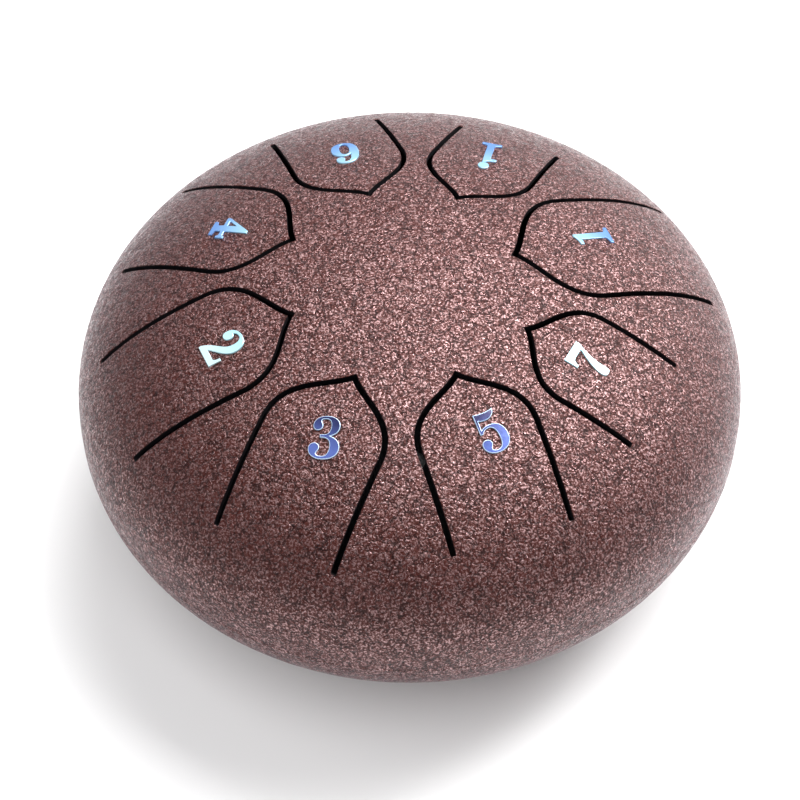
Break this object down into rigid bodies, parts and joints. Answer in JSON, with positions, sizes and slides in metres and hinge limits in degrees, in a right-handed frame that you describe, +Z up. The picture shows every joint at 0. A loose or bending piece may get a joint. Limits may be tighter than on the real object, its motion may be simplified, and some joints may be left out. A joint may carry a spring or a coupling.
{
  "type": "handpan",
  "caption": "Small domed steel tongue drum of the handpan family: ogee-tipped tuned tongues cut in the upper dome with foil numerals, welded lower dome with sound hole and rubber feet.",
  "frame": {"origin": "centre of the base, on the plane of the feet", "axes": "+Z up through the dome's centre; the player sits on the -Y side"},
  "size_m": [0.155, 0.155, 0.076],
  "materials": {
    "body": "bronze-brown textured powder coat, satin",
    "numeral_foil": "sky-blue mirror foil sticker",
    "foot_rubber": "black moulded rubber, matt",
    "screw_steel": "zinc-plated steel"
  },
  "bodies": {
    "drum_body": {"top_shell": "body", "bottom_shell": "body", "seam_weld": "body", "rubber_foot_1": "foot_rubber", "foot_washer_1": "screw_steel", "foot_screw_1": "screw_steel", "rubber_foot_2": "foot_rubber", "foot_washer_2": "screw_steel", "foot_screw_2": "screw_steel", "rubber_foot_3": "foot_rubber", "foot_washer_3": "screw_steel", "foot_screw_3": "screw_steel"},
    "tongue_5_body": {"tongue_5": "body", "number_5": "numeral_foil"},
    "tongue_7_body": {"tongue_7": "body", "number_7": "numeral_foil"},
    "tongue_1_body": {"tongue_1": "body", "number_1": "numeral_foil"},
    "tongue_high_1_body": {"tongue_high_1": "body", "number_high_1": "numeral_foil", "number_high_1_dot": "numeral_foil"},
    "tongue_6_body": {"tongue_6": "body", "number_6": "numeral_foil"},
    "tongue_4_body": {"tongue_4": "body", "number_4": "numeral_foil"},
    "tongue_2_body": {"tongue_2": "body", "number_2": "numeral_foil"},
    "tongue_3_body": {"tongue_3": "body", "number_3": "numeral_foil"}
  },
  "joints": [
    {"name": "tongue_5_flex", "type": "hinge", "parent": "drum_body", "child": "tongue_5_body", "pos_m": [0.02412, -0.05887, 0.0611], "axis": [-0.9239, -0.3827, 0], "range_deg": [-0.8, 0.8], "stiffness_Nm_per_rad": 73},
    {"name": "tongue_7_flex", "type": "hinge", "parent": "drum_body", "child": "tongue_7_body", "pos_m": [0.05358, -0.02546, 0.06365], "axis": [-0.4242, -0.9055, 0], "range_deg": [-0.8, 0.8], "stiffness_Nm_per_rad": 71},
    {"name": "tongue_1_flex", "type": "hinge", "parent": "drum_body", "child": "tongue_1_body", "pos_m": [0.06357, 0.02372, 0.05786], "axis": [0.3426, -0.9395, 0], "range_deg": [-0.8, 0.8], "stiffness_Nm_per_rad": 86},
    {"name": "tongue_high_1_flex", "type": "hinge", "parent": "drum_body", "child": "tongue_high_1_body", "pos_m": [0.02128, 0.05154, 0.0654], "axis": [0.9298, -0.368, 0], "range_deg": [-0.8, 0.8], "stiffness_Nm_per_rad": 86},
    {"name": "tongue_6_flex", "type": "hinge", "parent": "drum_body", "child": "tongue_6_body", "pos_m": [-0.02371, 0.05454, 0.06357], "axis": [0.9309, 0.3652, 0], "range_deg": [-0.8, 0.8], "stiffness_Nm_per_rad": 89},
    {"name": "tongue_4_flex", "type": "hinge", "parent": "drum_body", "child": "tongue_4_body", "pos_m": [-0.06173, 0.02381, 0.05927], "axis": [0.386, 0.9225, 0], "range_deg": [-0.8, 0.8], "stiffness_Nm_per_rad": 87},
    {"name": "tongue_2_flex", "type": "hinge", "parent": "drum_body", "child": "tongue_2_body", "pos_m": [-0.06242, -0.02761, 0.05751], "axis": [-0.402, 0.9156, 0], "range_deg": [-0.8, 0.8], "stiffness_Nm_per_rad": 73},
    {"name": "tongue_3_flex", "type": "hinge", "parent": "drum_body", "child": "tongue_3_body", "pos_m": [-0.02448, -0.06233, 0.05862], "axis": [-0.9239, 0.3827, 0], "range_deg": [-0.8, 0.8], "stiffness_Nm_per_rad": 65}
  ]
}
